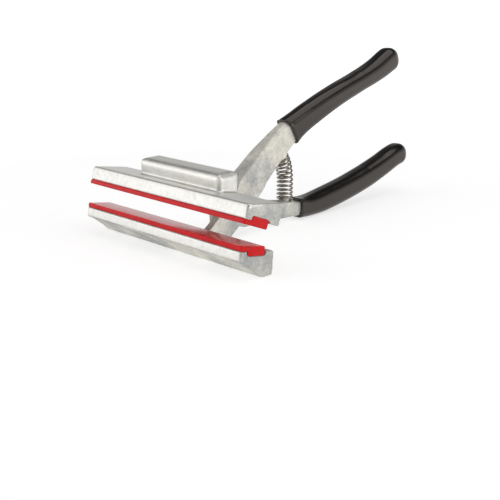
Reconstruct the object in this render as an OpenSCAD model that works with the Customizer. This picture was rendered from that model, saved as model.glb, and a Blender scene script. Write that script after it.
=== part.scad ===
// Canvas pliers: two cast levers that cross at a lap joint, with rubber-faced jaws.
// Millimetres. +X runs along the jaws, +Y towards the handles, +Z up.
// The origin is the centre of the flat heel under the lower jaw.
// The jaws are drawn open, as the return spring holds them.

/* [Jaws] */
// Length of both jaws along X
jaw_w = 120; // [90:1:150]
// Depth of the lower jaw, from its front face to its rear lip
lower_jaw_d = 21.8; // [20:0.1:26]
// Height of the lower jaw's front face
lower_face_h = 5.2; // [3.5:0.1:6]
// Tilt of the lower jaw's gripping plane, front up
lower_tilt = 10.4; // [8:0.1:12]
// Depth of the upper jaw, from its front face to its rear face
upper_jaw_d = 22.7; // [21.5:0.1:24]
// Height of the upper jaw's front face
upper_face_h = 7; // [5:0.1:9]
// Tilt of the upper jaw's gripping plane, front up, with the jaws open
upper_tilt = 22.3; // [21:0.1:23]
// Depth of the flat heel that the pliers stand on
heel_d = 7; // [5:0.1:9]
// Radius of the jaws' front corners, seen from above
jaw_corner_r = 1.5; // [0.8:0.1:3]

/* [Jaw pads] */
// Width of the jaw's front lip, which the pad's flange covers
lip_w = 4.2; // [3:0.1:5]
// Depth of the channel that the pad's body lies in
channel_depth = 2.2; // [1.5:0.1:2.6]
// Width of the channel
channel_w = 12.4; // [11.8:0.1:13]
// Width of the pad's body
pad_body_w = 11.1; // [9:0.1:11.6]
// How far a pad stands proud of its jaw
pad_proud = 2.3; // [1.6:0.1:2.4]

/* [Stiffening rib] */
// Length of the rib on the upper jaw
rib_len = 62; // [40:1:76]
// Sideways place of the rib's middle
rib_x = -2; // [-6:0.5:6]
// Depth of the rib from front to rear
rib_d = 14; // [11:0.1:15]
// Height of the rib's top above the origin
rib_top_z = 44.2; // [40.5:0.1:46]
// Radius of the rib's corners
rib_r = 3.2; // [1:0.1:3.4]
// Radius of the rib's two upper ends
rib_end_r = 3.6; // [2:0.1:6]

/* [Lap joint] */
// Distance of the pivot behind the origin
pivot_y = 41.5; // [40.5:0.1:42]
// Height of the pivot
pivot_z = 15; // [14.6:0.1:16]
// Radius of the round hub of each lever
hub_r = 10.2; // [9.2:0.1:10.6]
// Width of both levers along X
lever_w = 10; // [9:0.1:13]
// Gap between the two lap faces
lap_gap = 0.3; // [0.2:0.05:0.6]
// Gap round each hub, and at the stop that ends the opening
swing_gap = 0.4; // [0.35:0.05:0.7]
// Turn that brings the pads together
close_turn = 9.9; // [9:0.1:10.2]

/* [Pivot] */
// Radius of the pivot bolt's shank
pin_r = 3; // [2:0.1:4]
// Radial clearance of the shank in the levers
pin_fit = 0.05; // [0.02:0.01:0.1]
// Radius of the bolt's round head
head_r = 4.9; // [4.6:0.1:6]
// Height of the bolt's round head
head_h = 2.4; // [1.5:0.1:4]
// Width of the nut across its flats
nut_af = 10; // [9:0.1:12]
// Thickness of the nut
nut_h = 4; // [2.5:0.1:6]
// Thickness of the washer under the nut
washer_h = 1; // [0.6:0.1:2]
// Radius of the washer
washer_r = 6; // [5.2:0.1:7.5]

/* [Handles] */
// Distance of the upper grip's tip behind the origin
upper_tip_y = 175.5; // [150:0.5:200]
// Height of the upper grip's tip
upper_tip_z = 88; // [80:0.5:100]
// Distance of the lower grip's tip behind the origin
lower_tip_y = 188.6; // [170:0.5:210]
// Height of the lower grip's tip
lower_tip_z = 26.3; // [22:0.1:36]
// Wall of the dipped grips
grip_wall = 1.5; // [1:0.1:2.5]
// Wall of the grips at their round tips
tip_wall = 2.6; // [1.5:0.1:5]

/* [Return spring] */
// Outer radius of the spring
spring_r = 4.8; // [3.8:0.1:5]
// Radius of the spring's wire
wire_r = 0.55; // [0.4:0.05:0.65]
// Turns of the spring
turns = 11.5; // [8:0.5:13]
// Distance of the spring's foot behind the origin
spring_y = 76.5; // [74:0.5:79]

/* [Hidden] */

// Colours of the finishes
cast_aluminium = "#c9c9c4";
red_rubber = "#d8141b";
black_vinyl = "#17171a";
plated_steel = "#b9b6ae";

// Steps of each rounded corner and round surface
arc_steps = 5;
round_steps = 48;

half_w = lever_w / 2;
half_turn = 180;
pivot = [pivot_y, pivot_z];

// Unit vector of a vector
function unit(v) = v / norm(v);

// Points of the arc that rounds the corner b between a and c
function corner_arc(a, b, c, r) =
    r <= 0 ? [b] :
    let (u = unit(a - b), v = unit(c - b), half = acos(u * v) / 2)
    let (centre = b + unit(u + v) * r / sin(half), reach = r / tan(half))
    let (p = b + u * reach - centre, q = b + v * reach - centre)
    let (from = atan2(p.y, p.x), turn = (atan2(q.y, q.x) - from + 3 * half_turn) % (2 * half_turn) - half_turn)
    [for (i = [0:arc_steps])
        centre + r * [cos(from + turn * i / arc_steps), sin(from + turn * i / arc_steps)]];

// Outline through corners given as [y, z, radius]
function rounded(corners) =
    let (n = len(corners), flat = [for (c = corners) [c.x, c.y]])
    [for (i = [0:n - 1]) each corner_arc(flat[(i + n - 1) % n], flat[i], flat[(i + 1) % n], corners[i].z)];

// A YZ outline carried from x0 to x1
module slab(x0, x1, points) {
    translate([x0, 0, 0])
        rotate([90, 0, 90])
            linear_extrude(height = x1 - x0)
                polygon(points);
}

// A YZ outline carried to both sides of the middle plane
module wide(width, points) {
    slab(-width / 2, width / 2, points);
}

// A cylinder along X, round the pivot
module disc(x0, x1, r) {
    translate([x0, pivot.x, pivot.y])
        rotate([0, 90, 0])
            cylinder(h = x1 - x0, r = r, $fn = round_steps);
}

// Point of a jaw's section, u behind its front edge and s off its gripping plane
lower_front = [-16.6, 15.7];
upper_front = [-13.5, 30.7];
function on_lower(u, s) =
    lower_front + u * [cos(lower_tilt), -sin(lower_tilt)] + s * [sin(lower_tilt), cos(lower_tilt)];
function on_upper(u, s) =
    upper_front + u * [cos(upper_tilt), -sin(upper_tilt)] - s * [sin(upper_tilt), cos(upper_tilt)];

// A corner made from a point and its radius
function corner(p, r = 0) = [p.x, p.y, r];

channel_u = lip_w + channel_w;

// Section of the lower jaw, from its front edge round its channel to the heel
lower_section = rounded([
    corner(on_lower(0, 0), 0.3),
    corner(on_lower(lip_w, 0)),
    corner(on_lower(lip_w, -channel_depth)),
    corner(on_lower(channel_u, -channel_depth)),
    corner(on_lower(channel_u, 0), 0.4),
    corner(on_lower(lower_jaw_d, 0), 1),
    [heel_d / 2 + 0.3, 0, 0.4],
    [-heel_d / 2, 0, 2],
    [-heel_d / 2 - 4.6, 4.2, 6],
    [-14.2, 8.9, 4],
    corner(on_lower(0, -lower_face_h), 0.8)
]);

// Section of the upper jaw, a wedge with its channel below
upper_section = rounded([
    corner(on_upper(0, 0), 0.3),
    corner(on_upper(lip_w, 0)),
    corner(on_upper(lip_w, -channel_depth)),
    corner(on_upper(channel_u, -channel_depth)),
    corner(on_upper(channel_u, -0.8), 0.4),
    corner(on_upper(upper_jaw_d + 0.5, -0.8), 0.8),
    corner(on_upper(upper_jaw_d, -5.5), 1.5),
    corner(on_upper(upper_jaw_d, -12.2), 1.5),
    corner(on_upper(-0.5, -upper_face_h), 0.8)
]);

// A jaw's section carried along X, with its two front corners rounded
blunt_room = 30;
module blunted(front, tilt, over, section) {
    intersection() {
        wide(jaw_w + 2, section);
        translate([0, front.x, front.y])
            rotate([-tilt, 0, 0])
                translate([0, 0, -blunt_room])
                    linear_extrude(height = 2 * blunt_room)
                        polygon(rounded([
                            [-jaw_w / 2, -over, jaw_corner_r],
                            [jaw_w / 2, -over, jaw_corner_r],
                            [jaw_w / 2, blunt_room, 0],
                            [-jaw_w / 2, blunt_room, 0]
                        ]));
    }
}

module in_lower_jaw(section) {
    blunted(lower_front, lower_tilt, 0.05, section);
}

module in_upper_jaw(section) {
    blunted(upper_front, upper_tilt, 0.35, section);
}

// Where the lap starts: behind it each lever keeps only its own half of the width
lap_y = pivot.x - 19.5;

// Front edge of the lower lever's near half, from the jaw up to the arm
neck_front = [
    [4.6, 9.6],
    [10.5, 7.2],
    [pivot.x - 26.8, pivot.y - 6],
    [pivot.x - 20, pivot.y - 0.8],
    [pivot.x - 5.3, pivot.y + 16.2]
];
neck_front_r = [0, 3, 6, 12, 10];

// Lower lever: neck from the jaw's rear to the hub, in side view
neck_under_z = 1.2;
neck_under_y = 29;
neck_section = rounded(concat(
    [
        [0, neck_under_z, 0],
        [neck_under_y, neck_under_z, 3],
        [pivot.x - 5.2, pivot.y - 8.4, 0],
        corner(pivot),
        [pivot.x - 3, pivot.y + 14, 0]
    ],
    [for (i = [4:-1:0]) corner(neck_front[i], neck_front_r[i])],
    [[0, 9.6, 0]]
));

// The neck's lower part, which flares out into the jaw below the far half's room
neck_low_z = 6.8;
neck_base_section = rounded([
    [0, neck_under_z, 0],
    [lap_y, neck_under_z, 0],
    [lap_y, neck_low_z - 0.1, 0],
    [13.5, neck_low_z - 0.4, 4],
    [4.6, 9.6, 0],
    [0, 9.6, 0]
]);

// Top edge of the upper lever's web, which the upper arm's shoulder rests on when open
web_top_front = [11.5, 30];
web_top_rear = [pivot.x - 4.8, pivot.y + 8.9];
web_top_lap = web_top_front
    + (web_top_rear - web_top_front) * (lap_y - web_top_front.x) / (web_top_rear.x - web_top_front.x);

// Upper lever: web from the upper jaw to the hub, in side view
web_section = rounded([
    corner(web_top_front),
    corner(web_top_rear),
    corner(pivot),
    [pivot.x, pivot.y - hub_r, 0],
    [lap_y + 0.9, pivot.y - 8.6, 2.5],
    [lap_y + 0.5, pivot.y - 1, 2],
    [11, 20.2, 0],
    [7, 24, 0]
]);

// Room that the lower lever leaves for the far half of the upper one
lap_room = [
    [12, neck_low_z + 10],
    [12, neck_low_z],
    [lap_y, neck_low_z],
    [lap_y, -1],
    [pivot.x, -1],
    pivot,
    web_top_rear + [0, swing_gap],
    web_top_lap + [0, swing_gap]
];

// A point of the lower lever as the upper one meets it when shut, turned back to open
function met_when_shut(p) =
    let (d = p - pivot)
    pivot + [d.x * cos(close_turn) + d.y * sin(close_turn), d.y * cos(close_turn) - d.x * sin(close_turn)];

// Room that the upper lever leaves for the near half of the lower one
near_gap = 1.6 * swing_gap * unit([-0.75, 0.66]);
near_room = concat(
    [[neck_front[1].x - 2, -1], [pivot.x, -1], pivot + [0, 20]],
    [for (i = [4:-1:1]) met_when_shut(neck_front[i] + near_gap)],
    [met_when_shut(neck_front[1]) + [-2, swing_gap]]
);

// Upper lever: from the hub back to the lower arm, in side view
heel_bar_section = rounded([
    corner(pivot),
    [pivot.x + 3.2, pivot.y - 9.7, 0],
    [pivot.x + 13, pivot.y - 10.4, 5],
    [pivot.x + 19, pivot.y - 10.8, 0],
    [pivot.x + 19, pivot.y - 0.5, 0],
    [pivot.x + 8.6, pivot.y + 0.4, 6]
]);

// Stations along each handle as [distance along it, offset, half height, half width,
// corner radius] of the metal, the distance as a share of the line from root to tip
upper_root = [48, 28.5];
lower_root = [52, 10.3];
upper_stations = [
    [0, 0, 8.6, 4.95, 0.5],
    [0.05, 2.6, 8, 4.8, 0.7],
    [0.15, 5.5, 7.4, 4.5, 0.9],
    [0.25, 7.9, 6.8, 4.2, 1.1],
    [0.325, 8.2, 5.9, 4.3, 2.6],
    [0.415, 7.7, 5.4, 4.5, 2.6],
    [0.57, 5.8, 4.8, 4.8, 2.6],
    [0.735, 2.5, 4.5, 5, 2.6],
    [0.85, 0.4, 4.9, 5.1, 2.6],
    [0.93, 0, 5.4, 5.1, 2.6]
];
lower_stations = [
    [0, 0, 5.4, 4.95, 0.5],
    [0.07, -2.1, 5.2, 4.9, 0.7],
    [0.14, -4.4, 4.7, 4.9, 0.9],
    [0.225, -7.2, 4, 4.8, 1.2],
    [0.305, -9, 4.6, 4.8, 2.6],
    [0.4, -9.5, 5.2, 4.9, 2.6],
    [0.56, -8.7, 5.3, 5, 2.6],
    [0.705, -6.8, 5.3, 5.1, 2.6],
    [0.815, -4.3, 5.1, 5.1, 2.6],
    [0.93, -1.3, 5, 5.1, 2.6]
];

// Share of each handle's line at which the grip begins
upper_mouth = 0.265;
lower_mouth = 0.235;

// Catmull-Rom value between b and c, with neighbours a and d
function between(a, b, c, d, t) =
    0.5 * (2 * b + (c - a) * t + (2 * a - 5 * b + 4 * c - d) * t * t + (3 * b - a - 3 * c + d) * t * t * t);

// Station at share t of a handle, found on the curve through the listed ones
function station(list, t) =
    let (last = len(list) - 1)
    let (i = t >= list[last - 1][0] ? last - 1 : max([for (k = [0:last - 1]) if (list[k][0] <= t) k]))
    let (a = list[max(i - 1, 0)], b = list[i], c = list[i + 1], d = list[min(i + 2, last)])
    between(a, b, c, d, (t - b[0]) / (c[0] - b[0]));

// Point of a handle's centre line as [y, z], and the way the line runs there
function handle_point(list, root, tip, t) =
    let (along = tip - root, across = unit([-along.y, along.x]))
    root + along * t + across * station(list, t)[1];
function handle_way(list, root, tip, t) =
    unit(handle_point(list, root, tip, t + 0.002)
        - handle_point(list, root, tip, max(t - 0.002, 0)));

upper_tip = [upper_tip_y, upper_tip_z];
lower_tip = [lower_tip_y, lower_tip_z];

// Point of the upper handle's edge at share t, front for a share of 1 and rear for -1
function upper_edge(t, share) =
    let (way = handle_way(upper_stations, upper_root, upper_tip, t))
    handle_point(upper_stations, upper_root, upper_tip, t)
    + [-way.y, way.x] * share * station(upper_stations, t)[2];

// Lower lever: from the hub and the shoulder up to the bar of the handle, in side view
arm_root_section = rounded([
    corner(pivot + [-8.6, 7]),
    corner(pivot),
    corner(pivot + hub_r * [cos(28), sin(28)]),
    corner(upper_edge(0, -0.99), 4),
    corner(upper_edge(0.02, -0.97)),
    corner(upper_edge(0.02, 0.97)),
    corner(upper_edge(0, 0.99), 4),
    corner(neck_front[4], 10)
]);

// Ring of a rounded bar about a centre, with its tangent, half width, half height and corners
corner_points = 6;
ring_sides = 4 * corner_points;
function ring(centre, way, hw, hh, r) =
    [for (q = [0:3], j = [0:corner_points - 1])
        let (a = 90 * (q + j / (corner_points - 1)), side = [[1, 1], [-1, 1], [-1, -1], [1, -1]][q])
        let (x = side.x * (hw - r) + r * cos(a), up = side.y * (hh - r) + r * sin(a))
        [x, centre.x - way.y * up, centre.y + way.x * up]];

// Closed skin through a list of rings
module skin(rings) {
    n = ring_sides;
    last = len(rings) - 1;
    polyhedron(
        points = [for (r = rings) each r],
        faces = concat(
            [[for (k = [n - 1:-1:0]) k]],
            [for (i = [0:last - 1], k = [0:n - 1])
                each [
                    [i * n + k, i * n + (k + 1) % n, (i + 1) * n + k],
                    [i * n + (k + 1) % n, (i + 1) * n + (k + 1) % n, (i + 1) * n + k]
                ]],
            [[for (k = [0:n - 1]) last * n + k]]
        )
    );
}

// A handle's bar from share t0 to t1, thickened by a wall and closed by a round cap
bar_rings = 22;
cap_rings = 5;
cap_sweep = 84;
cap_roundness = 0.7;
module bar(list, root, tip, t0, t1, wall, cap) {
    end = handle_point(list, root, tip, t1);
    ahead = handle_way(list, root, tip, t1);
    last = station(list, t1);
    shares = [t0, for (i = [1:bar_rings]) if (t1 * i / bar_rings > t0 + 0.01) t1 * i / bar_rings];
    body_rings = [for (t = shares)
        let (here = station(list, t))
        ring(handle_point(list, root, tip, t), handle_way(list, root, tip, t),
            here[3] + wall, here[2] + wall, here[4] + wall)];
    rounder = cap_roundness * (min(last[2], last[3]) - last[4]);
    cap_list = [for (i = [1:cap_rings])
        let (a = cap_sweep * i / cap_rings)
        ring(end + ahead * cap * sin(a), ahead, (last[3] + wall) * cos(a), (last[2] + wall) * cos(a),
            (last[4] + wall + rounder * sin(a)) * cos(a))];
    skin(concat(body_rings, cap_list));
}

// Length of the round cap at a grip's tip, and the share at which it starts
grip_cap = 7;
function cap_start(root, tip) = 1 - grip_cap / norm(tip - root);

module upper_bar(t0, wall, shorter = 0) {
    t1 = cap_start(upper_root, upper_tip);
    bar(upper_stations, upper_root, upper_tip, t0, t1, wall, grip_cap - shorter);
}

module lower_bar(t0, wall, shorter = 0) {
    t1 = cap_start(lower_root, lower_tip);
    bar(lower_stations, lower_root, lower_tip, t0, t1, wall, grip_cap - shorter);
}

// Spring seats: a round face with a peg that stands in the end of the spring
seat_r = spring_r + 0.3;
seat_depth = 4;
peg_r = spring_r - 2 * wire_r - 0.5;
peg_h = 2.2;
seat_proud = 0.4;
foot_share = (spring_y - lower_root.x) / (lower_tip.x - lower_root.x);
foot = [
    spring_y,
    handle_point(lower_stations, lower_root, lower_tip, foot_share).y
        + station(lower_stations, foot_share)[2] + seat_proud
];
spring_lean = 5.8;
top_share = (spring_y - spring_lean - upper_root.x) / (upper_tip.x - upper_root.x);
top_way = handle_way(upper_stations, upper_root, upper_tip, top_share);
top_tilt = atan2(top_way.y, top_way.x);
top = handle_point(upper_stations, upper_root, upper_tip, top_share)
    + [top_way.y, -top_way.x] * (station(upper_stations, top_share)[2] + seat_proud);

module seat(at, tilt) {
    translate([0, at.x, at.y])
        rotate([tilt, 0, 0])
            union() {
                translate([0, 0, -seat_depth])
                    cylinder(h = seat_depth, r = seat_r, $fn = round_steps);
                translate([0, 0, -1])
                    cylinder(h = peg_h + 1, r = peg_r, $fn = round_steps);
            }
}

// A side outline that flares out from a lever's width into its jaw, from y1 forward to y0
module flared(outline, y0, y1, spread) {
    mid_y = y0 + 0.45 * (y1 - y0);
    mid_x = half_w + 0.15 * spread;
    intersection() {
        wide(2 * (half_w + spread), outline);
        linear_extrude(height = rib_top_z)
            polygon([
                [-half_w - spread, y0],
                [half_w + spread, y0],
                [mid_x, mid_y],
                [half_w, y1],
                [-half_w, y1],
                [-mid_x, mid_y]
            ]);
    }
}

neck_flare_y = 2;
neck_spread = 11;
module flared_neck() {
    flared(neck_base_section, neck_flare_y, lap_y - 1, neck_spread);
}

web_flare_y = 9;
web_spread = 13;
module flared_web() {
    flared(web_section, web_flare_y, lap_y, web_spread);
}

module lower_jaw_lever() {
    color(cast_aluminium)
        difference() {
            union() {
                in_lower_jaw(lower_section);
                flared_neck();
                difference() {
                    union() {
                        wide(lever_w, neck_section);
                        wide(lever_w, arm_root_section);
                    }
                    disc(-half_w - 1, lap_gap / 2, hub_r + swing_gap);
                    slab(-half_w - 1, lap_gap / 2, lap_room);
                }
                disc(lap_gap / 2, half_w, hub_r);
                upper_bar(0, 0, tip_wall);
                seat(top, top_tilt + 180);
            }
            disc(-half_w - 1, half_w + 1, pin_r + pin_fit);
        }
}

module upper_jaw_lever() {
    color(cast_aluminium)
        difference() {
            union() {
                in_upper_jaw(upper_section);
                rib();
                difference() {
                    union() {
                        flared_web();
                        wide(lever_w, web_section);
                        wide(lever_w, heel_bar_section);
                    }
                    disc(-lap_gap / 2, half_w + 1, hub_r + swing_gap);
                    slab(-lap_gap / 2, half_w + web_spread, near_room);
                }
                disc(-half_w, -lap_gap / 2, hub_r);
                lower_bar(0.02, 0, tip_wall);
                seat(foot, 0);
            }
            disc(-half_w - 1, half_w + 1, pin_r + pin_fit);
        }
}

// Stiffening rib on the upper jaw, with rounded ends and edges
rib_y = -1;
rib_foot_z = 28;
rib_section = rounded([
    [rib_y + 0.4, rib_foot_z, 0],
    [rib_y + rib_d, rib_foot_z, 0],
    [rib_y + rib_d, rib_top_z, rib_r],
    [rib_y, rib_top_z, rib_r]
]);
module rib() {
    x0 = rib_x - rib_len / 2;
    x1 = rib_x + rib_len / 2;
    intersection() {
        slab(x0, x1, rib_section);
        linear_extrude(height = rib_top_z + 1)
            polygon(rounded([
                [x0, rib_y, rib_r],
                [x1, rib_y, rib_r],
                [x1, rib_y + rib_d, rib_r],
                [x0, rib_y + rib_d, rib_r]
            ]));
        translate([0, rib_y + rib_d + 1, 0])
            rotate([90, 0, 0])
                linear_extrude(height = rib_d + 2)
                    polygon(rounded([
                        [x0, rib_foot_z - 1, 0],
                        [x1, rib_foot_z - 1, 0],
                        [x1, rib_top_z, rib_end_r],
                        [x0, rib_top_z, rib_end_r]
                    ]));
    }
}

// Section of a pad in its jaw's own directions: a flange over the lip and a body in the channel
function pad_corners() = [
    [0, 0, 0],
    [lip_w + 0.1, 0, 0],
    [lip_w + 0.1, -channel_depth, 0],
    [lip_w + 0.1 + pad_body_w, -channel_depth, 0],
    [lip_w + 0.1 + pad_body_w, pad_proud, 0.8],
    [0, pad_proud, 0.4]
];

module lower_jaw_pad() {
    color(red_rubber)
        in_lower_jaw(rounded([for (c = pad_corners()) corner(on_lower(c.x, c.y), c.z)]));
}

module upper_jaw_pad() {
    color(red_rubber)
        in_upper_jaw(rounded([for (c = pad_corners()) corner(on_upper(c.x, c.y), c.z)]));
}

// Clearance between a grip and the metal inside it
grip_fit = 0.04;

module upper_handle_grip() {
    color(black_vinyl)
        difference() {
            upper_bar(upper_mouth, grip_wall);
            upper_bar(upper_mouth - 0.02, grip_fit, tip_wall - grip_fit);
        }
}

module lower_handle_grip() {
    color(black_vinyl)
        difference() {
            lower_bar(lower_mouth, grip_wall);
            lower_bar(lower_mouth - 0.02, grip_fit, tip_wall - grip_fit);
        }
}

// Clearance under the bolt's head and the washer
face_gap = 0.1;
bolt_end = 1;
head_edge_r = 1.2;
slot_w = 1.2;
slot_depth = 1;

module pivot_bolt() {
    far_end = half_w + face_gap + washer_h + nut_h + bolt_end;
    color(plated_steel)
        translate([0, pivot.x, pivot.y])
            rotate([0, 90, 0])
                difference() {
                    union() {
                        translate([0, 0, -far_end])
                            cylinder(h = far_end + half_w + 1, r = pin_r, $fn = round_steps);
                        translate([0, 0, half_w + face_gap])
                            rotate_extrude($fn = round_steps)
                                polygon(rounded([
                                    [0, 0, 0],
                                    [head_r, 0, 0],
                                    [head_r, head_h, head_edge_r],
                                    [0, head_h, 0]
                                ]));
                    }
                    translate([-slot_w / 2, -head_r, half_w + face_gap + head_h - slot_depth])
                        cube([slot_w, 2 * head_r, 2 * slot_depth]);
                }
}

module pivot_washer() {
    color(plated_steel)
        difference() {
            disc(-half_w - face_gap - washer_h, -half_w - face_gap, washer_r);
            disc(-half_w - face_gap - washer_h - 1, half_w, pin_r + pin_fit);
        }
}

module pivot_nut() {
    start = half_w + face_gap + washer_h;
    color(plated_steel)
        difference() {
            translate([-start - nut_h, pivot.x, pivot.y])
                rotate([0, 90, 0])
                    cylinder(h = nut_h, r = nut_af / 2 / cos(30), $fn = 6);
            disc(-start - nut_h - 1, -start + 1, pin_r + pin_fit);
        }
}

// Centre line of the spring: a cubic curve that leaves both seats squarely
rise = norm(top - foot) / 3;
foot_wire = foot + [0, wire_r + 0.1];
top_aim = [-sin(top_tilt), cos(top_tilt)];
top_wire = top - top_aim * (wire_r + 0.1);
function spring_axis(t) =
    let (a = foot_wire, b = foot_wire + [0, rise], c = top_wire - top_aim * rise, d = top_wire)
    pow(1 - t, 3) * a + 3 * t * pow(1 - t, 2) * b + 3 * t * t * (1 - t) * c + pow(t, 3) * d;
function spring_aim(t) = unit(spring_axis(min(t + 0.01, 1)) - spring_axis(max(t - 0.01, 0)));

// The pitch closes up towards both ends, so each end turn lies nearly flat
close_up = 0.08;
function climb(s) = s - close_up * sin(360 * s) / (2 * PI);

steps = 8 * turns;
coil_r = spring_r - wire_r;
wire_path = [for (i = [0:steps])
    let (s = i / steps, t = climb(s), p = spring_axis(t), aim = spring_aim(t), a = 360 * turns * s)
    [coil_r * cos(a), p.x + coil_r * sin(a) * aim.y, p.y - coil_r * sin(a) * aim.x]];

// Six-sided tube along a path of points
wire_sides = 6;
module wire(path) {
    last = len(path) - 1;
    n = wire_sides;
    rings = [for (i = [0:last])
        let (way = path[min(i + 1, last)] - path[max(i - 1, 0)], f = way / norm(way))
        let (side = cross(f, [0, 0, 1]), u = side / norm(side), v = cross(u, f))
        [for (k = [0:n - 1]) path[i] + wire_r * (u * cos(360 * k / n) + v * sin(360 * k / n))]];
    polyhedron(
        points = [for (r = rings) each r],
        faces = concat(
            [[for (k = [n - 1:-1:0]) k]],
            [for (i = [0:last - 1], k = [0:n - 1])
                each [
                    [i * n + k, i * n + (k + 1) % n, (i + 1) * n + k],
                    [i * n + (k + 1) % n, (i + 1) * n + (k + 1) % n, (i + 1) * n + k]
                ]],
            [[for (k = [0:n - 1]) last * n + k]]
        )
    );
}

// Least gap between one turn and the next, measured on the path's points
wire_gap = min([for (i = [0:steps - 8], j = [5:11])
    if (i + j <= steps) norm(wire_path[i + j] - wire_path[i])]) - 2 * wire_r;
echo(spring_least_gap = wire_gap);

module return_spring() {
    color(plated_steel)
        wire(wire_path);
}

lower_jaw_lever();
lower_jaw_pad();
upper_handle_grip();
pivot_bolt();
pivot_washer();
pivot_nut();
upper_jaw_lever();
upper_jaw_pad();
lower_handle_grip();
return_spring();
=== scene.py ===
"""Canvas pliers: cast levers, rubber jaw pads, dipped grips, a coil spring, and the pivot's bolt,
washer and nut.

The pieces' lengths are in millimetres until a mesh is made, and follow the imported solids' own
sizes. The floor, lamps and camera are in metres.
+X runs along the jaws, +Y towards the handles, +Z up from the surface the pliers stand on.
A point across the jaws is (y, z).
"""

import math

import bmesh
import bpy
import numpy as np
from mathutils import Matrix, Vector


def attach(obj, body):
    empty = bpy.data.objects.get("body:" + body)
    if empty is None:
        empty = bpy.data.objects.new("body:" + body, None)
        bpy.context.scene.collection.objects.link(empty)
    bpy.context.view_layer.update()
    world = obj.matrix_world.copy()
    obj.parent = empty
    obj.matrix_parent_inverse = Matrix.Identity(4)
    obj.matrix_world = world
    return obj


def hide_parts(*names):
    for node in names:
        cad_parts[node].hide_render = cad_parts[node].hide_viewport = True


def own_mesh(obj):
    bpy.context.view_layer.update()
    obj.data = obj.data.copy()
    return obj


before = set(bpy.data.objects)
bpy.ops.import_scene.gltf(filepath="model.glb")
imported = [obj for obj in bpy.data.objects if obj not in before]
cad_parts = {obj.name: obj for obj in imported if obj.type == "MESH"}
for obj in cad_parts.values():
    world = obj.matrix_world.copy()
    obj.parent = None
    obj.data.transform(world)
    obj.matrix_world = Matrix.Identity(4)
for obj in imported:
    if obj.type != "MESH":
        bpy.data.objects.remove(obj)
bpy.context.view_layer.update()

MM = 0.001

# Jaws and pads; an edge is the jaw's front edge next to its pad
JAW_W = 120.0
JAW_CORNER_R = 1.5
LOWER_TILT = math.radians(10.4)
UPPER_TILT = math.radians(22.3)
LOWER_EDGE = np.array([-16.6, 15.7])
UPPER_EDGE = np.array([-13.5, 30.7])
LIP_W = 4.2
CHANNEL_DEPTH = 2.2
PAD_FIT = 0.1
PAD_BODY_W = 11.1
PAD_PROUD = 2.3
PAD_FRONT_R = 0.4
PAD_LIP_R = 0.15
PAD_FOOT_R = 0.5
PAD_REAR_R = 0.8
PAD_END_R = 0.3

# Castings: where the ground faces and the faces with painted light lie, and the cosines that tell
# how they face
FRONT_Y = -11.0
RIB_REAR_Y = 14.0
UPPER_JAW_Z = 26.0
RIB_Z = 35.0
GROUND_FACING = 0.97
END_FACING = 0.7

# Castings: the sampling cube, the smoothing, and the shares of the line where the arm eases
WELD_GAP = 0.001
WORN_CUBE = 0.5
WORN_PASSES = 4
ARM_EASE_START = 0.02
ARM_PAST_MOUTH = 0.1
ARM_MARGIN = 8.0

# Grips; an easing is the length over which the top corners reach TOP_ROUND
GRIP_WALL = 1.5
GRIP_CAP = 7.0
CAP_TURN = math.radians(88)
LIP_CLEAR = 1.6
LIP_SWELL = 0.12
SWELL_FADE = 2.0
TOP_ROUND = 3.5
UPPER_EASING = 0.5
LOWER_EASING = 12.0

# Spring; its top stands nearer to the jaws than its foot by the lean
WIRE_R = 0.55
SPRING_R = 4.8
SPRING_Y = 76.5
SPRING_LEAN = 5.8
TURNS = 11.5
CLOSE_UP = 0.08
SEAT_PROUD = 0.4
SEAT_GAP = 0.1

# Pivot
PIVOT = np.array([41.5, 15.0])
NUT_START = 6.1
NUT_H = 4.0
NUT_HALF_AF = 5.0
NUT_BORE_R = 3.05
NUT_EDGE = 0.6
NUT_FACE_SHARE = 0.97
NUT_CONE = math.radians(30)
BORE_EDGE = 0.35

# Way from the object to the middle of the dark gap in the studio's walls
GAP_WAY = (0.66, -0.66, 0.36)

# Camera: place, angles, and the focal length in pixels of a picture's width
CAMERA_PLACE = (0.3402, -0.2899, 0.1394)
CAMERA_TURN, CAMERA_ABOVE, CAMERA_ROLL = (math.radians(a) for a in (45.15, 17.40, -0.417))
FOCAL_PX = 901.46
PICTURE_PX = 500.0
SENSOR_MM = 36.0

# Handle stations: share of the line from root to tip, offset, half height, half width, corner
UPPER_ROOT, UPPER_TIP, UPPER_MOUTH = np.array([48.0, 28.5]), np.array([175.5, 88.0]), 0.265
UPPER_STATIONS = np.array([
    (0, 0, 8.6, 4.95, 0.5),
    (0.05, 2.6, 8, 4.8, 0.7),
    (0.15, 5.5, 7.4, 4.5, 0.9),
    (0.25, 7.9, 6.8, 4.2, 1.1),
    (0.325, 8.2, 5.9, 4.3, 2.6),
    (0.415, 7.7, 5.4, 4.5, 2.6),
    (0.57, 5.8, 4.8, 4.8, 2.6),
    (0.735, 2.5, 4.5, 5, 2.6),
    (0.85, 0.4, 4.9, 5.1, 2.6),
    (0.93, 0, 5.4, 5.1, 2.6),
])
LOWER_ROOT, LOWER_TIP, LOWER_MOUTH = np.array([52.0, 10.3]), np.array([188.6, 26.3]), 0.235
LOWER_STATIONS = np.array([
    (0, 0, 5.4, 4.95, 0.5),
    (0.07, -2.1, 5.2, 4.9, 0.7),
    (0.14, -4.4, 4.7, 4.9, 0.9),
    (0.225, -7.2, 4, 4.8, 1.2),
    (0.305, -9, 4.6, 4.8, 2.6),
    (0.4, -9.5, 5.2, 4.9, 2.6),
    (0.56, -8.7, 5.3, 5, 2.6),
    (0.705, -6.8, 5.3, 5.1, 2.6),
    (0.815, -4.3, 5.1, 5.1, 2.6),
    (0.93, -1.3, 5, 5.1, 2.6),
])


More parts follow.
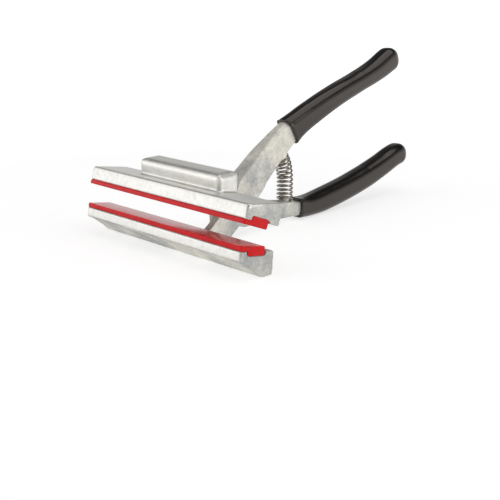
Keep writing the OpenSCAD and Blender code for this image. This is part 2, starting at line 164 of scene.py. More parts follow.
# Material helpers
def srgb(code):
    """An sRGB hex code as linear red, green, blue and alpha."""
    channels = [int(code[i:i + 2], 16) / 255 for i in (1, 3, 5)]
    linear = [c / 12.92 if c <= 0.04045 else ((c + 0.055) / 1.055) ** 2.4 for c in channels]
    return (*linear, 1.0)


def wire(tree, node, links):
    """Joins sockets to a node's inputs, which are given by name or number."""
    for name, socket in links.items():
        tree.links.new(socket, node.inputs[name])


def add(tree, kind, links=None, stops=(), **settings):
    """Adds a node. Settings are its properties or input values, links maps its inputs to sockets,
    and stops are a colour ramp's pairs of position and hex code."""
    made = tree.nodes.new(kind)
    for name, value in settings.items():
        if hasattr(made, name):
            setattr(made, name, value)
        else:
            made.inputs[name.replace("_", " ")].default_value = value
    wire(tree, made, links or {})
    if stops:
        elements = made.color_ramp.elements
        while len(elements) < len(stops):
            elements.new(0.5)
        for element, (position, code) in zip(elements, stops):
            element.position = position
            element.color = srgb(code)
    return made


def new_material(name, **settings):
    """A node material whose shader has the given even values; returns it, its tree and shader."""
    made = bpy.data.materials.new(name)
    made.use_nodes = True
    shader = made.node_tree.nodes["Principled BSDF"]
    for socket, value in settings.items():
        shader.inputs[socket.replace("_", " ")].default_value = value
    return made, made.node_tree, shader


def per_metre(size_mm):
    """Texture scale for a pattern whose features are this many millimetres across."""
    return 1000.0 / size_mm


def cast_skin(name, cool_tones, cream_tones, grainy, smooth, rough, metallic):
    """Die-cast aluminium: blotches and drawn-out flow marks from the mould, some cream and some
    cool, under a fine grain. It is creamier and paler higher up, from 30 to 46 mm above the floor.
    Its skin of oxide scatters a good part of the light, so it looks paler than bare metal. The
    real grain is finer, and is drawn as coarse as it needs to show. Grainy is the grain's share
    of the mottle, and smooth and rough are the ends of the roughness."""
    made, tree, shader = new_material(name, Metallic=metallic)
    place = add(tree, "ShaderNodeTexCoord").outputs["Object"]
    blotch = add(tree, "ShaderNodeTexNoise", {"Vector": place},
                 Scale=per_metre(6), Detail=4.0, Roughness=0.62, Distortion=0.6).outputs["Fac"]
    grain = add(tree, "ShaderNodeTexNoise", {"Vector": place},
                Scale=per_metre(1.1), Detail=3.0, Roughness=0.7).outputs["Fac"]
    drawn = add(tree, "ShaderNodeMapping", {"Vector": place}, Scale=(0.3, 1.0, 1.0))
    flow = add(tree, "ShaderNodeTexNoise", {"Vector": drawn.outputs["Vector"]},
               Scale=per_metre(4), Detail=3.0, Roughness=0.55).outputs["Fac"]
    patchy = add(tree, "ShaderNodeMix", {"A": blotch, "B": flow},
                 data_type="FLOAT", Factor=0.4).outputs["Result"]
    mottle = add(tree, "ShaderNodeMix", {"A": patchy, "B": grain},
                 data_type="FLOAT", Factor=grainy).outputs["Result"]
    places = (0.36, 0.5, 0.62)
    cool = add(tree, "ShaderNodeValToRGB", {"Fac": mottle}, list(zip(places, cool_tones)))
    cream = add(tree, "ShaderNodeValToRGB", {"Fac": mottle}, list(zip(places, cream_tones)))
    tint = add(tree, "ShaderNodeTexNoise", {"Vector": place},
               Scale=per_metre(16), Detail=2.0, Roughness=0.5)
    share = add(tree, "ShaderNodeMapRange", {"Value": tint.outputs["Fac"]},
                From_Min=0.42, From_Max=0.72)
    height = add(tree, "ShaderNodeSeparateXYZ", {"Vector": place})
    # Creamier and paler higher up, from 30 to 46 mm
    higher_up = add(tree, "ShaderNodeMapRange", {"Value": height.outputs["Z"]},
                  From_Min=0.03, From_Max=0.046)
    creamy = add(tree, "ShaderNodeMath",
                 {0: share.outputs["Result"], 1: higher_up.outputs["Result"]},
                 operation="ADD", use_clamp=True)
    # A colour mix has its share at input 0, its colours at 6 and 7, and its result at output 2
    colour = add(tree, "ShaderNodeMix", {0: creamy.outputs["Value"], 6: cool.outputs["Color"],
                                         7: cream.outputs["Color"]}, data_type="RGBA")
    sheen = add(tree, "ShaderNodeMapRange", {"Value": patchy}, To_Min=smooth, To_Max=rough)
    coarse = add(tree, "ShaderNodeBump", {"Height": blotch}, Strength=0.35, Distance=0.3 * MM)
    fine = add(tree, "ShaderNodeBump", {"Height": grain, "Normal": coarse.outputs["Normal"]},
               Strength=0.4, Distance=0.1 * MM)
    wire(tree, shader, {"Base Color": colour.outputs[2], "Roughness": sheen.outputs["Result"],
                        "Normal": fine.outputs["Normal"]})
    return made


def ground_face():
    """A casting's face after the grinding belt: brighter and flatter, lined along the jaw, with
    small pits left from the skin. A belt's real lines are finer, and are drawn as coarse as they
    need to show."""
    made, tree, shader = new_material("ground_cast_aluminium", Metallic=1.0)
    place = add(tree, "ShaderNodeTexCoord").outputs["Object"]
    drawn = add(tree, "ShaderNodeMapping", {"Vector": place}, Scale=(0.06, 1.0, 1.0))
    lines = add(tree, "ShaderNodeTexNoise", {"Vector": drawn.outputs["Vector"]},
                Scale=per_metre(0.8), Detail=2.0, Roughness=0.6)
    pits = add(tree, "ShaderNodeTexNoise", {"Vector": place},
               Scale=per_metre(2.2), Detail=5.0, Roughness=0.7).outputs["Fac"]
    speck = add(tree, "ShaderNodeValToRGB", {"Fac": pits},
                [(0.3, "#CFCDC7"), (0.4, "#DEDCD8"), (0.6, "#E6E5E1")])
    sheen = add(tree, "ShaderNodeMapRange", {"Value": pits}, To_Min=0.5, To_Max=0.42)
    bump = add(tree, "ShaderNodeBump", {"Height": lines.outputs["Fac"]},
               Strength=0.3, Distance=0.05 * MM)
    wire(tree, shader, {"Base Color": speck.outputs["Color"],
                        "Roughness": sheen.outputs["Result"], "Normal": bump.outputs["Normal"]})
    return made


def moulded_rubber():
    """Red moulded rubber: deep red, glossy from a polished mould, with a faint bloom and shallow
    pits."""
    made, tree, shader = new_material("moulded_red_rubber", IOR=1.52, Specular_IOR_Level=0.2)
    place = add(tree, "ShaderNodeTexCoord").outputs["Object"]
    bloom = add(tree, "ShaderNodeTexNoise", {"Vector": place},
                Scale=per_metre(7), Detail=4.0, Roughness=0.6).outputs["Fac"]
    pits = add(tree, "ShaderNodeTexNoise", {"Vector": place},
               Scale=per_metre(1.4), Detail=2.0, Roughness=0.6)
    red = add(tree, "ShaderNodeValToRGB", {"Fac": bloom}, [(0.3, "#D40C13"), (0.7, "#EC161C")])
    sheen = add(tree, "ShaderNodeMapRange", {"Value": bloom}, To_Min=0.12, To_Max=0.24)
    bump = add(tree, "ShaderNodeBump", {"Height": pits.outputs["Fac"]},
               Strength=0.2, Distance=0.04 * MM)
    wire(tree, shader, {"Base Color": red.outputs["Color"],
                        "Roughness": sheen.outputs["Result"], "Normal": bump.outputs["Normal"]})
    return made


def dipped_vinyl():
    """Dipped black vinyl: glossy from the dip tank, gently wavy, with a fine orange peel."""
    # The warm specular tint is painted reflection: it gives the grips' sheen a brownish colour
    made, tree, shader = new_material("dipped_black_vinyl", IOR=1.53, Specular_IOR_Level=0.65,
                                      Specular_Tint=srgb("#FFF1E6"))
    place = add(tree, "ShaderNodeTexCoord").outputs["Object"]
    wave = add(tree, "ShaderNodeTexNoise", {"Vector": place},
               Scale=per_metre(14), Detail=1.0, Roughness=0.4).outputs["Fac"]
    peel = add(tree, "ShaderNodeTexNoise", {"Vector": place},
               Scale=per_metre(1.6), Detail=2.0, Roughness=0.5).outputs["Fac"]
    black = add(tree, "ShaderNodeValToRGB", {"Fac": wave}, [(0.3, "#060505"), (0.7, "#0D0A09")])
    sheen = add(tree, "ShaderNodeMapRange", {"Value": peel}, To_Min=0.13, To_Max=0.2)
    slow = add(tree, "ShaderNodeBump", {"Height": wave}, Strength=0.25, Distance=0.5 * MM)
    fast = add(tree, "ShaderNodeBump", {"Height": peel, "Normal": slow.outputs["Normal"]},
               Strength=0.12, Distance=0.05 * MM)
    wire(tree, shader, {"Base Color": black.outputs["Color"],
                        "Roughness": sheen.outputs["Result"], "Normal": fast.outputs["Normal"]})
    return made


def plated_steel(name, tones, rough, grain_mm):
    """Plated steel: a thin bright coat over drawn or turned metal, slightly clouded in colour and
    gloss, and faintly uneven."""
    made, tree, shader = new_material(name, Metallic=1.0)
    place = add(tree, "ShaderNodeTexCoord").outputs["Object"]
    cloud = add(tree, "ShaderNodeTexNoise", {"Vector": place},
                Scale=per_metre(grain_mm), Detail=4.0, Roughness=0.6).outputs["Fac"]
    colour = add(tree, "ShaderNodeValToRGB", {"Fac": cloud}, list(zip((0.3, 0.7), tones)))
    sheen = add(tree, "ShaderNodeMapRange", {"Value": cloud},
                To_Min=rough - 0.06, To_Max=rough + 0.08)
    bump = add(tree, "ShaderNodeBump", {"Height": cloud}, Strength=0.2, Distance=0.03 * MM)
    wire(tree, shader, {"Base Color": colour.outputs["Color"],
                        "Roughness": sheen.outputs["Result"], "Normal": bump.outputs["Normal"]})
    return made


CAST = cast_skin("die_cast_aluminium", ("#A0A1A0", "#B6B7B4", "#CBCBC6"),
                 ("#C6C3B9", "#E0DDD3", "#F2EFE7"), grainy=0.5, smooth=0.52, rough=0.68,
                 metallic=0.75)
# A smoother copy of the cast finish for the upper jaw's top and rib; its paler tones are painted
# light on those faces
SMOOTH_CAST_PAINTED_LIGHT = cast_skin("smooth_cast_aluminium_painted_light", ("#D0D1D1", "#DFE0DF", "#E9E9E7"),
                    ("#D6D4CE", "#E3E1DB", "#EDECE7"), grainy=0.3, smooth=0.3, rough=0.48,
                    metallic=0.88)
GROUND = ground_face()
RUBBER = moulded_rubber()
VINYL = dipped_vinyl()
# The spring's tones are darker than bright nickel: painted shade that stands in for the dark
# surroundings the wire reflects
NICKEL = plated_steel("nickel_plated_spring_wire", ("#77726A", "#ADA79B"), 0.14, 2.5)
ZINC = plated_steel("zinc_plated_steel", ("#A3A3A6", "#CDCDD0"), 0.3, 3)


# Surfaces
def add_surface(name, rings, material, body, node, looped=False, crease=50):
    """A closed skin over rings of points, in millimetres: quads between rings, and either a face
    at each end or, where it is looped, quads from the last ring back to the first. Edges that
    turn by more than crease degrees are sharp."""
    count, sides, _ = rings.shape
    index = np.arange(count * sides).reshape(count, sides)
    here, after = (index, np.roll(index, -1, 0)) if looped else (index[:-1], index[1:])
    quads = np.stack([here, np.roll(here, -1, 1), np.roll(after, -1, 1), after], -1).reshape(-1, 4)
    mesh = bpy.data.meshes.new(name)
    faces = quads.tolist() + ([] if looped else [index[0][::-1].tolist(), index[-1].tolist()])
    mesh.from_pydata((rings.reshape(-1, 3) * MM).tolist(), [], faces)
    mesh.shade_smooth()
    mesh.materials.append(material)
    made = bpy.data.objects.new(name, mesh)
    bpy.context.collection.objects.link(made)
    fix = bmesh.new()
    fix.from_mesh(mesh)
    bmesh.ops.recalc_face_normals(fix, faces=fix.faces)
    fix.to_mesh(mesh)
    fix.free()
    mesh.set_sharp_from_angle(angle=math.radians(crease))
    return settle(made, body, node)


def settle(made, body, node):
    """Puts a piece on its body and hides the node whose place it takes."""
    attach(made, body)
    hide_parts(node)
    return made


def rounded_outline(corners, steps=8):
    """A closed outline through corners (a, b, radius), each turned into an arc that touches both
    of its sides."""
    points = np.array([c[:2] for c in corners], float)
    made = []
    for i, (_, _, radius) in enumerate(corners):
        here = points[i]
        back, ahead = points[i - 1] - here, points[(i + 1) % len(points)] - here
        back, ahead = back / np.linalg.norm(back), ahead / np.linalg.norm(ahead)
        half = math.acos(np.clip(back @ ahead, -1, 1)) / 2
        centre = here + (back + ahead) / np.linalg.norm(back + ahead) * radius / math.sin(half)
        start = here + back * radius / math.tan(half) - centre
        end = here + ahead * radius / math.tan(half) - centre
        first = math.atan2(start[1], start[0])
        turn = (math.atan2(end[1], end[0]) - first + math.pi) % (2 * math.pi) - math.pi
        angles = first + turn * np.linspace(0, 1, steps + 1)
        made.append(centre + radius * np.stack([np.cos(angles), np.sin(angles)], -1))
    return np.concatenate(made)


def outward(outline):
    """Unit normals of a closed outline, each square to the chord through its neighbours."""
    after = np.roll(outline, -1, 0)
    chord = after - np.roll(outline, 1, 0)
    normal = np.stack([chord[:, 1], -chord[:, 0]], -1)
    area = np.sum(outline[:, 0] * after[:, 1] - outline[:, 1] * after[:, 0])
    return np.sign(area) * normal / np.linalg.norm(normal, axis=1, keepdims=True)


def ease_arm(spots, table, root, tip, start, full, steps=160):
    """Rounds an arm's two top edges where the hand meets them. A point that lies outside a circle
    in the section's corner moves straight in to it. The circle's radius grows from nought at the
    share start to TOP_ROUND at the share full, and stays so a little way past it."""
    shares = np.linspace(start, full + ARM_PAST_MOUTH, steps)
    centre, way = handle_line(table, root, tip, shares)
    near = np.flatnonzero((spots[:, 1] > (centre[:, 0].min() - ARM_MARGIN) * MM)
                          & (spots[:, 2] > centre[:, 1].min() * MM))
    points = spots[near] / MM
    gap = points[:, None, 1:] - centre[None]
    closest = np.argmin((gap ** 2).sum(-1), 1)
    gap = gap[np.arange(len(near)), closest]
    share, way = shares[closest], way[closest]
    over = np.stack([-way[:, 1], way[:, 0]], -1)
    up = (gap * over).sum(-1)
    at = at_stations(table, share)
    radius = TOP_ROUND * np.clip((share - start) / (full - start), 0, 1)
    side, rise = np.abs(points[:, 0]) - (at[:, 3] - radius), up - (at[:, 2] - radius)
    reach = np.hypot(side, rise)
    beside = (closest > 0) & (closest < len(shares) - 1)
    outside = beside & (side > 0) & (rise > 0) & (reach > radius)
    keep = np.where(outside, radius / np.maximum(reach, 1e-6), 1.0)
    eased = np.sign(points[:, 0]) * (at[:, 3] - radius + side * keep)
    points[:, 0] = np.where(outside, eased, points[:, 0])
    points[:, 1:] += ((keep - 1) * np.where(outside, rise, 0))[:, None] * over
    spots[near] = points * MM


def worn_casting(name, node, body, front_way, arm=None):
    """The node's solid as tumbling leaves it. Its skin is sampled again on an even grid of cubes,
    the top edges of an arm are eased, and each vertex moves half way to its neighbours' mean, pass
    by pass: flat faces stay where they are, and edges and inner corners gain a radius of about a
    cube times the root of the passes. Faces that look along front_way, at the jaw's front, are
    the ground ones. The upper jaw's top and its rib, save end faces below RIB_Z, take a smoother
    copy of the cast finish whose paler tones are painted light where the light falls."""
    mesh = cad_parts[node].data.copy()
    weld = bmesh.new()
    weld.from_mesh(mesh)
    bmesh.ops.remove_doubles(weld, verts=weld.verts, dist=WELD_GAP * MM)
    weld.to_mesh(mesh)
    weld.free()
    blank = bpy.data.objects.new("blank", mesh)
    bpy.context.collection.objects.link(blank)
    sample = blank.modifiers.new("sample", "REMESH")
    sample.mode, sample.voxel_size, sample.adaptivity = "VOXEL", WORN_CUBE * MM, 0
    sampled = blank.evaluated_get(bpy.context.evaluated_depsgraph_get())
    shell = bpy.data.meshes.new_from_object(sampled)
    bpy.data.objects.remove(blank)
    count = len(shell.vertices)
    spots, pairs = np.empty(count * 3), np.empty(len(shell.edges) * 2, int)
    shell.vertices.foreach_get("co", spots)
    shell.edges.foreach_get("vertices", pairs)
    spots, pairs = spots.reshape(-1, 3), pairs.reshape(-1, 2)
    if arm is not None:
        ease_arm(spots, *arm)
    here, there = np.concatenate([pairs, pairs[:, ::-1]]).T
    beside = np.bincount(here, minlength=count)[:, None]
    for _ in range(WORN_PASSES):
        total = np.stack([np.bincount(here, spots[there, k], count) for k in range(3)], -1)
        spots += 0.5 * (total / beside - spots)
    shell.vertices.foreach_set("co", spots.ravel())
    shell.update()
    shell.shade_smooth()
    shell.materials.clear()
    for finish in (CAST, GROUND, SMOOTH_CAST_PAINTED_LIGHT):
        shell.materials.append(finish)
    normals, centres = np.empty((2, len(shell.polygons) * 3))
    shell.polygons.foreach_get("normal", normals)
    shell.polygons.foreach_get("center", centres)
    normals, centres = normals.reshape(-1, 3), centres.reshape(-1, 3) / MM
    ground = (normals[:, 1:] @ front_way > GROUND_FACING) & (centres[:, 1] < FRONT_Y)
    # The upper jaw's top and rib, save end faces below RIB_Z, get the paler copy: painted light
    # where the light falls
    on_top = (centres[:, 1] < RIB_REAR_Y) & (centres[:, 2] > UPPER_JAW_Z)
    painted_light_faces = on_top & ((np.abs(normals[:, 0]) < END_FACING) | (centres[:, 2] > RIB_Z))
    finishes = np.select([ground, painted_light_faces], [1, 2], 0).astype(np.int32)
    shell.polygons.foreach_set("material_index", finishes)
    made = bpy.data.objects.new(name, shell)
    bpy.context.collection.objects.link(made)
    return settle(made, body, node)


def bar_of(outline, half_length, edge, arc_steps=6, flat_steps=38):
    """A YZ outline carried along X, its two ends rounded: the outline draws in by edge*(1 - cos a)
    while X goes out by edge*sin a, a from 0 to 90 degrees."""
    angles = np.linspace(0, math.pi / 2, arc_steps)
    draw, out = edge * (1 - np.cos(angles)), edge * np.sin(angles)
    x_right = half_length - edge + out
    flat = np.linspace(-half_length + edge, half_length - edge, flat_steps + 2)[1:-1]
    xs = np.concatenate([-x_right[::-1], flat, x_right])
    ins = np.concatenate([draw[::-1], np.zeros(flat_steps), draw])
    points = outline[None] - ins[:, None, None] * outward(outline)[None]
    xs = np.broadcast_to(xs[:, None, None], points.shape[:2] + (1,))
    return np.concatenate([xs, points], -1)


def jaw_pad(name, node, body, edge, tilt, side):
    """A pad's L section in its jaw's directions, u behind the front edge and s off the jaw,
    turned by the jaw's tilt about the jaw's front edge and carried along the jaw. Side is 1 where
    the pad faces up and -1 where it faces down. Near the front the ends draw in by
    r - sqrt(r*r - (r - u)*(r - u)), as the jaw's rounded corners do."""
    lip = LIP_W + PAD_FIT
    reach = lip + PAD_BODY_W
    section = rounded_outline([
        (0, 0, PAD_FRONT_R), (lip, 0, PAD_LIP_R), (lip, -CHANNEL_DEPTH, PAD_FOOT_R),
        (reach, -CHANNEL_DEPTH, PAD_FOOT_R), (reach, PAD_PROUD, PAD_REAR_R),
        (0, PAD_PROUD, PAD_FRONT_R)])
    u, s = section[:, :1], section[:, 1:] * side
    along = np.array([math.cos(tilt), -math.sin(tilt)])
    off = np.array([math.sin(tilt), math.cos(tilt)])
    rings = bar_of(edge + u * along + s * off, JAW_W / 2, PAD_END_R)
    into = np.clip(JAW_CORNER_R - (rings[:, :, 1:] - edge) @ along, 0, JAW_CORNER_R)
    drawn = JAW_CORNER_R - np.sqrt(JAW_CORNER_R ** 2 - into ** 2)
    rings[:, :, 0] *= 1 - drawn / (JAW_W / 2)
    return add_surface(name, rings, RUBBER, body, node)


def at_stations(table, share):
    """A station table's values at an array of shares. Between two stations each value is a cubic
    whose slope at a station is half the difference of its neighbours; the end stations stand in
    for the neighbours that they lack."""
    last = len(table) - 1
    i = np.clip(np.searchsorted(table[:, 0], share, side="right") - 1, 0, last - 1)
    a, b, c, d = (table[np.clip(i + k, 0, last)] for k in (-1, 0, 1, 2))
    t = ((share - b[:, 0]) / (c[:, 0] - b[:, 0]))[:, None]
    return 0.5 * (2 * b + (c - a) * t + (2 * a - 5 * b + 4 * c - d) * t ** 2
                  + (3 * b - a - 3 * c + d) * t ** 3)


def handle_line(table, root, tip, share, step=0.002):
    """Centre line points and unit directions of a handle at an array of shares: a point lies on
    the line from root to tip, moved across it by the station's offset, and a direction runs
    between the points a step before and after."""
    def point(at):
        along = tip - root
        across = np.array([-along[1], along[0]]) / np.linalg.norm(along)
        return root + at[:, None] * along + at_stations(table, at)[:, 1:2] * across

    way = point(share + step) - point(np.maximum(share - step, 0))
    return point(share), way / np.linalg.norm(way, axis=1, keepdims=True)


def rounded_rings(centre, way, half_w, half_h, low_corner, top_corner, sides=72):
    """Rings of a rounded bar: a circle whose centre slides round a rectangle, with a radius of
    its own for the two low corners and the two top ones."""
    angle = 2 * math.pi * (np.arange(sides) + 0.5) / sides
    cos, sin = np.cos(angle)[None], np.sin(angle)[None]
    corner = np.where(sin > 0, top_corner[:, None], low_corner[:, None])
    x = np.sign(cos) * (half_w[:, None] - corner) + corner * cos
    up = np.sign(sin) * (half_h[:, None] - corner) + corner * sin
    y = centre[:, :1] - way[:, 1:] * up
    z = centre[:, 1:] + way[:, :1] * up
    return np.stack([x, y, z], -1)


def dipped_grip(name, node, body, table, root, tip, mouth, easing,
                lip_steps=9, body_steps=110, cap_steps=14):
    """A sleeve over a handle: it starts on the metal, rolls over a rounded lip, follows the
    handle a wall's thickness out, and closes in a quarter-round cap that grows rounder to the
    tip. Its body starts LIP_CLEAR lip radii from the mouth, with a swelling of LIP_SWELL that
    fades over SWELL_FADE. Its top corners reach their full radius over the easing's length from
    the mouth."""
    length = np.linalg.norm(tip - root)
    end = 1 - GRIP_CAP / length
    lip = np.linspace(0, math.pi, lip_steps)
    lip_r = GRIP_WALL / 2
    lip_share = mouth + lip_r * (1 - np.sin(lip)) / length
    lip_wall = lip_r * (1 - np.cos(lip))
    body_share = np.linspace(mouth + LIP_CLEAR * lip_r / length, end, body_steps)
    swell = LIP_SWELL * np.exp(-((body_share - mouth) * length / SWELL_FADE) ** 2)
    share = np.concatenate([lip_share, body_share])
    wall = np.concatenate([lip_wall, GRIP_WALL + swell])
    at = at_stations(table, share)
    centre, way = handle_line(table, root, tip, share)
    grown = np.clip((share - mouth) * length / easing, 0, 1)
    top = at[:, 4] + (TOP_ROUND - at[:, 4]) * grown * grown * (3 - 2 * grown)
    rings = rounded_rings(centre, way, at[:, 3] + wall, at[:, 2] + wall, at[:, 4] + wall,
                          top + wall)
    turn = np.linspace(0, CAP_TURN, cap_steps)[1:]
    shrink = np.cos(turn)
    roundest = at[-1, 2:4].min()
    low, high = (corner + (roundest - corner) * np.sin(turn) + GRIP_WALL
                 for corner in (at[-1, 4], top[-1]))
    cap_centre = centre[-1] + way[-1] * (GRIP_CAP * np.sin(turn))[:, None]
    cap = rounded_rings(cap_centre, np.repeat(way[-1:], len(turn), 0),
                        (at[-1, 3] + GRIP_WALL) * shrink, (at[-1, 2] + GRIP_WALL) * shrink,
                        low * shrink, high * shrink)
    return add_surface(name, np.concatenate([rings, cap]), VINYL, body, node)


def tube(path, radius, sides=12):
    """Rings square to a path, each a circle of the given radius in the path's normal plane."""
    way = np.gradient(path, axis=0)
    way /= np.linalg.norm(way, axis=1, keepdims=True)
    side = np.cross(way, np.array([0.0, 0.0, 1.0]))
    side /= np.linalg.norm(side, axis=1, keepdims=True)
    up = np.cross(side, way)
    angle = 2 * math.pi * np.arange(sides) / sides
    return path[:, None] + radius * (side[:, None] * np.cos(angle)[None, :, None]
                                     + up[:, None] * np.sin(angle)[None, :, None])


def chamfered_nut(sides=144, edge_steps=9):
    """A hexagon nut as rings round the bolt's line. A ring's radius is the hexagon's, half its
    width over flats divided by the cosine of the angle from the nearest flat's middle, held
    inside a cone at each face; the last rings run back through the bore with its mouths
    chamfered."""
    angle = 2 * math.pi * np.arange(sides) / sides
    hexagon = NUT_HALF_AF / np.cos((angle + math.pi / 6) % (math.pi / 3) - math.pi / 6)
    depth = np.concatenate([np.linspace(0, NUT_EDGE, edge_steps),
                            np.linspace(NUT_H - NUT_EDGE, NUT_H, edge_steps)])
    cone = NUT_FACE_SHARE * NUT_HALF_AF + np.minimum(depth, NUT_H - depth) / math.tan(NUT_CONE)
    bore = NUT_BORE_R + np.array([BORE_EDGE, 0, 0, BORE_EDGE])
    radius = np.concatenate([np.minimum(hexagon, cone[:, None]),
                             np.repeat(bore[:, None], sides, 1)])
    x = -NUT_START - np.concatenate([depth, [NUT_H, NUT_H - BORE_EDGE, BORE_EDGE, 0]])
    rings = np.stack([np.broadcast_to(x[:, None], radius.shape), PIVOT[0] + radius * np.cos(angle),
                      PIVOT[1] + radius * np.sin(angle)], -1)
    return add_surface("hexagon_nut", rings, ZINC, "lower_jaw", "pivot_nut", looped=True, crease=25)


def handle_at(table, root, tip, y):
    """A handle's centre, direction and half height at the share of its line where y lies."""
    share = np.array([(y - root[0]) / (tip[0] - root[0])])
    centre, way = handle_line(table, root, tip, share)
    return centre[0], way[0], at_stations(table, share)[0, 2]


def coil_spring(turn_steps=28, step=0.01):
    """A helix round a cubic curve that leaves both seats squarely: the lower handle's seat faces
    straight up, and the upper handle's faces down, square to the handle's line. The pitch closes
    up at both ends, as the climb lags the turning by CLOSE_UP*sin(2 pi s)/(2 pi)."""
    centre, _, half_h = handle_at(LOWER_STATIONS, LOWER_ROOT, LOWER_TIP, SPRING_Y)
    foot = np.array([SPRING_Y, centre[1] + half_h + SEAT_PROUD])
    centre, way, half_h = handle_at(UPPER_STATIONS, UPPER_ROOT, UPPER_TIP, SPRING_Y - SPRING_LEAN)
    aim_top = np.array([-way[1], way[0]])
    top = centre - aim_top * (half_h + SEAT_PROUD)
    rise = np.linalg.norm(top - foot) / 3
    lift = WIRE_R + SEAT_GAP
    a = foot + np.array([0, lift])
    d = top - aim_top * lift
    b, c = a + np.array([0, rise]), d - aim_top * rise

    def axis(t):
        t = t[:, None]
        return ((1 - t) ** 3 * a + 3 * t * (1 - t) ** 2 * b + 3 * t ** 2 * (1 - t) * c
                + t ** 3 * d)

    s = np.linspace(0, 1, int(turn_steps * TURNS) + 1)
    t = s - CLOSE_UP * np.sin(2 * math.pi * s) / (2 * math.pi)
    aim = axis(np.minimum(t + step, 1)) - axis(np.maximum(t - step, 0))
    aim /= np.linalg.norm(aim, axis=1, keepdims=True)
    turn = 2 * math.pi * TURNS * s
    radius = SPRING_R - WIRE_R
    centre = axis(t)
    path = np.stack([radius * np.cos(turn), centre[:, 0] + radius * np.sin(turn) * aim[:, 1],
                     centre[:, 1] - radius * np.sin(turn) * aim[:, 0]], -1)
    return add_surface("spring_coil", tube(path, WIRE_R), NICKEL, "lower_jaw", "return_spring")


# Pieces
worn_casting("lower_jaw_casting", "lower_jaw_lever", "lower_jaw",
             np.array([-math.cos(LOWER_TILT), math.sin(LOWER_TILT)]),
             (UPPER_STATIONS, UPPER_ROOT, UPPER_TIP, ARM_EASE_START, UPPER_MOUTH))
worn_casting("upper_jaw_casting", "upper_jaw_lever", "upper_jaw",
             np.array([-math.cos(UPPER_TILT), math.sin(UPPER_TILT)]))
for node_name in ("pivot_bolt", "pivot_washer"):
    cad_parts[node_name].data.materials.clear()
    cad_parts[node_name].data.materials.append(ZINC)

chamfered_nut()
jaw_pad("lower_pad_moulding", "lower_jaw_pad", "lower_jaw", LOWER_EDGE, LOWER_TILT, 1)
jaw_pad("upper_pad_moulding", "upper_jaw_pad", "upper_jaw", UPPER_EDGE, UPPER_TILT, -1)
dipped_grip("upper_grip_sleeve", "upper_handle_grip", "lower_jaw",
            UPPER_STATIONS, UPPER_ROOT, UPPER_TIP, UPPER_MOUTH, UPPER_EASING)
dipped_grip("lower_grip_sleeve", "lower_handle_grip", "upper_jaw",
            LOWER_STATIONS, LOWER_ROOT, LOWER_TIP, LOWER_MOUTH, LOWER_EASING)
spring = coil_spring()
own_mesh(spring)


# Floor, light and camera
def make_floor():
    """A wide plane of white paper. Seen by the camera or in a reflection it glows a little, and
    more with distance, so it stays white far away and still takes the object's shadow."""
    bpy.ops.mesh.primitive_plane_add(size=12, location=(0, 0, 0))
    floor = bpy.context.object
    floor.name = "studio_floor"
    made, tree, shader = new_material("matt_white_paper", Base_Color=srgb("#EDEDED"),
                                      Roughness=0.9)
    paper = add(tree, "ShaderNodeBsdfDiffuse", Color=srgb("#BCBCBC"))
    place = add(tree, "ShaderNodeTexCoord").outputs["Object"]
    away = add(tree, "ShaderNodeVectorMath", {"Vector": place}, operation="LENGTH")
    rise = add(tree, "ShaderNodeMapRange", {"Value": away.outputs["Value"]},
               From_Min=0.25, From_Max=0.8, To_Min=0.66, To_Max=1.0)
    glow = add(tree, "ShaderNodeEmission", {"Strength": rise.outputs["Result"]})
    bright = add(tree, "ShaderNodeAddShader",
                 {0: paper.outputs["BSDF"], 1: glow.outputs["Emission"]})
    choice = add(tree, "ShaderNodeMixShader",
                 {"Fac": seen_or_reflected(tree), 1: shader.outputs["BSDF"],
                  2: bright.outputs["Shader"]})
    wire(tree, tree.nodes["Material Output"], {"Surface": choice.outputs["Shader"]})
    floor.data.materials.append(made)


def seen_or_reflected(tree):
    """One for camera, glossy and transmission rays, else nought."""
    rays = add(tree, "ShaderNodeLightPath").outputs
    some = add(tree, "ShaderNodeMath", {0: rays["Is Camera Ray"], 1: rays["Is Glossy Ray"]},
               operation="MAXIMUM")
    every = add(tree, "ShaderNodeMath",
                {0: some.outputs["Value"], 1: rays["Is Transmission Ray"]}, operation="MAXIMUM")
    return every.outputs["Value"]


def make_lamp(name, place, aim, size, power):
    """A square softbox at a place, turned to face a point."""
    lamp = bpy.data.lights.new(name, "AREA")
    lamp.shape, lamp.size, lamp.energy = "SQUARE", size, power
    holder = bpy.data.objects.new(name, lamp)
    holder.location = place
    holder.rotation_euler = (Vector(aim) - Vector(place)).to_track_quat("-Z", "Y").to_euler()
    bpy.context.collection.objects.link(holder)


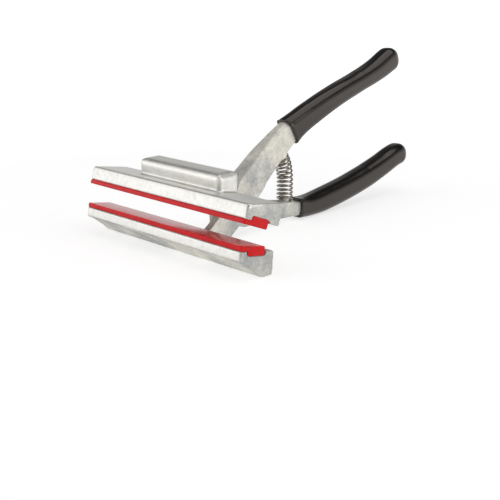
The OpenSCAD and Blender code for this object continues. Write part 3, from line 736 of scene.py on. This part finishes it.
def make_world():
    """White walls under a dim ceiling, with a dark gap behind the camera: the strength falls with
    the height of the direction, and close to the gap's middle. The walls' foot stays white in the
    gap too, so no dark patch stands over the floor's edge in views from behind."""
    world = bpy.data.worlds.new("studio_walls")
    bpy.context.scene.world = world
    world.use_nodes = True
    tree = world.node_tree
    walls = tree.nodes["Background"]
    walls.inputs["Color"].default_value = srgb("#FFFFFF")
    way = add(tree, "ShaderNodeTexCoord").outputs["Generated"]
    height = add(tree, "ShaderNodeSeparateXYZ", {"Vector": way}).outputs["Z"]
    fall = add(tree, "ShaderNodeMapRange", {"Value": height},
               From_Min=0.06, From_Max=0.6, To_Min=1.0, To_Max=0.09)
    near = add(tree, "ShaderNodeVectorMath", {0: way}, operation="DOT_PRODUCT")
    near.inputs[1].default_value = GAP_WAY
    gap = add(tree, "ShaderNodeMapRange", {"Value": near.outputs["Value"]},
              From_Min=0.86, From_Max=0.96, To_Min=1.0, To_Max=0.3)
    foot = add(tree, "ShaderNodeMapRange", {"Value": height},
               From_Min=0.1, From_Max=0.24, To_Min=1.0, To_Max=0.0)
    above_foot = add(tree, "ShaderNodeMath",
                     {0: gap.outputs["Result"], 1: foot.outputs["Result"]}, operation="MAXIMUM")
    both = add(tree, "ShaderNodeMath",
               {0: fall.outputs["Result"], 1: above_foot.outputs["Value"]}, operation="MULTIPLY")
    wire(tree, walls, {"Strength": both.outputs["Value"]})


def make_camera():
    """The photograph's viewpoint, round to the right and above, fitted to the jaws."""
    flat = math.cos(CAMERA_ABOVE)
    ahead = Vector((-flat * math.sin(CAMERA_TURN), flat * math.cos(CAMERA_TURN),
                    -math.sin(CAMERA_ABOVE)))
    right = Vector((math.cos(CAMERA_TURN), math.sin(CAMERA_TURN), 0))
    up = right.cross(ahead)
    right, up = (right * math.cos(CAMERA_ROLL) + up * math.sin(CAMERA_ROLL),
                 up * math.cos(CAMERA_ROLL) - right * math.sin(CAMERA_ROLL))
    lens = bpy.data.cameras.new("photo_camera")
    lens.sensor_fit, lens.sensor_width = "HORIZONTAL", SENSOR_MM
    lens.lens = FOCAL_PX * SENSOR_MM / PICTURE_PX
    lens.clip_start = 0.01
    camera = bpy.data.objects.new("photo_camera", lens)
    facing = Matrix((right, up, -ahead)).transposed().to_4x4()
    camera.matrix_world = Matrix.Translation(Vector(CAMERA_PLACE)) @ facing
    bpy.context.collection.objects.link(camera)
    bpy.context.scene.camera = camera


make_floor()
make_world()
make_lamp("front_left_softbox", (-0.75, -0.85, 0.6), (0, 0.02, 0.03), size=1.2, power=4.2)
make_lamp("right_softbox", (1.05, 0.3, 0.4), (0, 0.06, 0.03), size=0.8, power=2.5)
make_lamp("high_softbox", (0.25, 0.1, 1.2), (0, 0.06, 0.02), size=1.5, power=8)
make_camera()
bpy.context.scene.view_settings.view_transform = "Standard"
